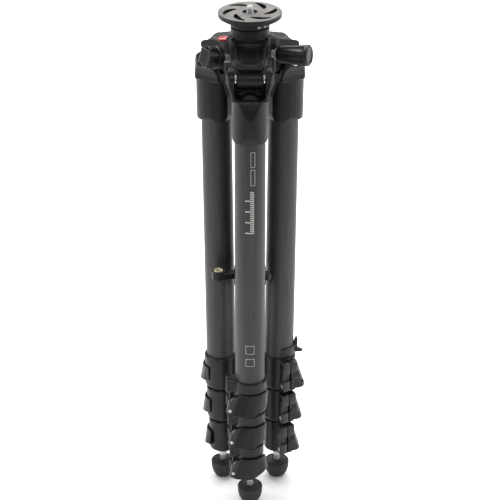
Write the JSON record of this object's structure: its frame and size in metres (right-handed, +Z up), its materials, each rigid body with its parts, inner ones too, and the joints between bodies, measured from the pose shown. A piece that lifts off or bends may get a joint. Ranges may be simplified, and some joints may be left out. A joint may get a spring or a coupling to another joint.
{
  "type": "folded camera tripod",
  "caption": "Folding four-section camera tripod with flip-lock legs, spreading leg hinges, a cranked centre column and a flat head plate.",
  "frame": {"origin": "middle of the footprint on the floor", "axes": "+Z up along the centre column; -Y towards the front leg"},
  "size_m": [0.1428, 0.1316, 0.671],
  "materials": {
    "carbon": "satin clear coat over fine lengthwise carbon fibre",
    "casting": "black semi-gloss powder coat",
    "moulding": "black satin moulded plastic",
    "rubber": "matt black rubber",
    "steel": "turned and polished",
    "plate": "machined, light grey",
    "brass": "machined",
    "red": "translucent red"
  },
  "bodies": {
    "head_frame": {"spider": "casting", "level_cap": "red"},
    "column": {"column_tube": "carbon", "top_plate": "plate", "head_screw": "steel", "column_end_fitting": "casting", "brass_insert": "brass"},
    "crank": {"crank_shaft": "steel", "crank_hub": "moulding"},
    "crank_grip": {"crank_handle": "moulding"},
    "column_lock": {"lock_stud": "steel", "lock_knob": "moulding"},
    "front_leg_upper": {"front_leg_fork": "casting", "front_hinge_pin": "steel", "front_tube_1": "carbon", "front_lock_1": "moulding"},
    "front_leg_second": {"front_tube_2": "carbon", "front_lock_2": "moulding"},
    "front_leg_third": {"front_tube_3": "carbon", "front_lock_3": "moulding"},
    "front_leg_lowest": {"front_tube_4": "carbon", "front_foot_stud": "steel", "front_foot_pad": "rubber"},
    "front_stop": {"front_angle_latch": "moulding"},
    "front_clamp_1": {"front_lever_1": "moulding"},
    "front_clamp_2": {"front_lever_2": "moulding"},
    "front_clamp_3": {"front_lever_3": "moulding"},
    "right_leg_upper": {"right_leg_fork": "casting", "right_hinge_pin": "steel", "right_tube_1": "carbon", "right_lock_1": "moulding", "tool_clip": "moulding"},
    "right_leg_second": {"right_tube_2": "carbon", "right_lock_2": "moulding"},
    "right_leg_third": {"right_tube_3": "carbon", "right_lock_3": "moulding"},
    "right_leg_lowest": {"right_tube_4": "carbon", "right_foot_stud": "steel", "right_foot_pad": "rubber"},
    "right_stop": {"right_angle_latch": "moulding"},
    "right_clamp_1": {"right_lever_1": "moulding"},
    "right_clamp_2": {"right_lever_2": "moulding"},
    "right_clamp_3": {"right_lever_3": "moulding"},
    "left_leg_upper": {"left_leg_fork": "casting", "left_hinge_pin": "steel", "left_tube_1": "carbon", "left_lock_1": "moulding"},
    "left_leg_second": {"left_tube_2": "carbon", "left_lock_2": "moulding"},
    "left_leg_third": {"left_tube_3": "carbon", "left_lock_3": "moulding"},
    "left_leg_lowest": {"left_tube_4": "carbon", "left_foot_stud": "steel", "left_foot_pad": "rubber"},
    "left_stop": {"left_angle_latch": "moulding"},
    "left_clamp_1": {"left_lever_1": "moulding"},
    "left_clamp_2": {"left_lever_2": "moulding"},
    "left_clamp_3": {"left_lever_3": "moulding"}
  },
  "joints": [
    {"name": "column_slide", "type": "slide", "parent": "head_frame", "child": "column", "axis": [0, 0, 1], "range_m": [0, 0.25]},
    {"name": "crank_turn", "type": "hinge", "parent": "head_frame", "child": "crank", "pos_m": [-0.04055, -0.01268, 0.61296], "axis": [-0.8365, -0.483, 0.2588], "range_deg": [0, 2160]},
    {"name": "crank_handle_fold", "type": "hinge", "parent": "crank", "child": "crank_grip", "pos_m": [-0.05702, -0.0141, 0.61697], "axis": [-0.2241, -0.1294, -0.9659], "range_deg": [0, 90]},
    {"name": "lock_knob_turn", "type": "hinge", "parent": "head_frame", "child": "column_lock", "pos_m": [0.0292, -0.00516, 0.61496], "axis": [0.9237, -0.3732, 0.0872], "range_deg": [0, 540]},
    {"name": "front_leg_spread", "type": "hinge", "parent": "head_frame", "child": "front_leg_upper", "pos_m": [-0.00418, -0.04038, 0.59796], "axis": [-1, 0, 0], "range_deg": [0, 80]},
    {"name": "front_stop_slide", "type": "slide", "parent": "front_leg_upper", "child": "front_stop", "axis": [0, 0.0122, -0.9999], "range_m": [0, 0.006], "stiffness_N_per_m": 300, "springref_m": -0.002},
    {"name": "front_section_2_slide", "type": "slide", "parent": "front_leg_upper", "child": "front_leg_second", "axis": [0, 0.0122, -0.9999], "range_m": [0, 0.33]},
    {"name": "front_section_3_slide", "type": "slide", "parent": "front_leg_second", "child": "front_leg_third", "axis": [0, 0.0122, -0.9999], "range_m": [0, 0.37]},
    {"name": "front_section_4_slide", "type": "slide", "parent": "front_leg_third", "child": "front_leg_lowest", "axis": [0, 0.0122, -0.9999], "range_m": [0, 0.41]},
    {"name": "front_lever_1_flip", "type": "hinge", "parent": "front_leg_upper", "child": "front_clamp_1", "pos_m": [-0.02938, -0.04, 0.15813], "axis": [0, 0.0122, -0.9999], "range_deg": [0, 90]},
    {"name": "front_lever_2_flip", "type": "hinge", "parent": "front_leg_second", "child": "front_clamp_2", "pos_m": [-0.02738, -0.0394, 0.10913], "axis": [0, 0.0122, -0.9999], "range_deg": [0, 90]},
    {"name": "front_lever_3_flip", "type": "hinge", "parent": "front_leg_third", "child": "front_clamp_3", "pos_m": [-0.02548, -0.0388, 0.06013], "axis": [0, 0.0122, -0.9999], "range_deg": [0, 90]},
    {"name": "right_leg_spread", "type": "hinge", "parent": "head_frame", "child": "right_leg_upper", "pos_m": [0.038, 0.03268, 0.59796], "axis": [0.5, -0.866, 0], "range_deg": [0, 80]},
    {"name": "right_stop_slide", "type": "slide", "parent": "right_leg_upper", "child": "right_stop", "axis": [-0.0106, -0.0061, -0.9999], "range_m": [0, 0.006], "stiffness_N_per_m": 300, "springref_m": -0.002},
    {"name": "right_section_2_slide", "type": "slide", "parent": "right_leg_upper", "child": "right_leg_second", "axis": [-0.0106, -0.0061, -0.9999], "range_m": [0, 0.33]},
    {"name": "right_section_3_slide", "type": "slide", "parent": "right_leg_second", "child": "right_leg_third", "axis": [-0.0106, -0.0061, -0.9999], "range_m": [0, 0.37]},
    {"name": "right_section_4_slide", "type": "slide", "parent": "right_leg_third", "child": "right_leg_lowest", "axis": [-0.0106, -0.0061, -0.9999], "range_m": [0, 0.41]},
    {"name": "right_lever_1_flip", "type": "hinge", "parent": "right_leg_upper", "child": "right_clamp_1", "pos_m": [0.05028, 0.01066, 0.15813], "axis": [-0.0106, -0.0061, -0.9999], "range_deg": [0, 90]},
    {"name": "right_lever_2_flip", "type": "hinge", "parent": "right_leg_second", "child": "right_clamp_2", "pos_m": [0.04876, 0.0121, 0.10913], "axis": [-0.0106, -0.0061, -0.9999], "range_deg": [0, 90]},
    {"name": "right_lever_3_flip", "type": "hinge", "parent": "right_leg_third", "child": "right_clamp_3", "pos_m": [0.04729, 0.01344, 0.06013], "axis": [-0.0106, -0.0061, -0.9999], "range_deg": [0, 90]},
    {"name": "left_leg_spread", "type": "hinge", "parent": "head_frame", "child": "left_leg_upper", "pos_m": [-0.04635, 0.03268, 0.59796], "axis": [0.5, 0.866, 0], "range_deg": [0, 80]},
    {"name": "left_stop_slide", "type": "slide", "parent": "left_leg_upper", "child": "left_stop", "axis": [0.0106, -0.0061, -0.9999], "range_m": [0, 0.006], "stiffness_N_per_m": 300, "springref_m": -0.002},
    {"name": "left_section_2_slide", "type": "slide", "parent": "left_leg_upper", "child": "left_leg_second", "axis": [0.0106, -0.0061, -0.9999], "range_m": [0, 0.33]},
    {"name": "left_section_3_slide", "type": "slide", "parent": "left_leg_second", "child": "left_leg_third", "axis": [0.0106, -0.0061, -0.9999], "range_m": [0, 0.37]},
    {"name": "left_section_4_slide", "type": "slide", "parent": "left_leg_third", "child": "left_leg_lowest", "axis": [0.0106, -0.0061, -0.9999], "range_m": [0, 0.41]},
    {"name": "left_lever_1_flip", "type": "hinge", "parent": "left_leg_upper", "child": "left_clamp_1", "pos_m": [-0.03343, 0.05431, 0.15813], "axis": [0.0106, -0.0061, -0.9999], "range_deg": [0, 90]},
    {"name": "left_lever_2_flip", "type": "hinge", "parent": "left_leg_second", "child": "left_clamp_2", "pos_m": [-0.03391, 0.05228, 0.10913], "axis": [0.0106, -0.0061, -0.9999], "range_deg": [0, 90]},
    {"name": "left_lever_3_flip", "type": "hinge", "parent": "left_leg_third", "child": "left_clamp_3", "pos_m": [-0.03434, 0.05034, 0.06013], "axis": [0.0106, -0.0061, -0.9999], "range_deg": [0, 90]}
  ],
  "couplings": [
    {"joint": "crank_turn", "follows": "column_slide", "rad_per_m": 149.6}
  ]
}
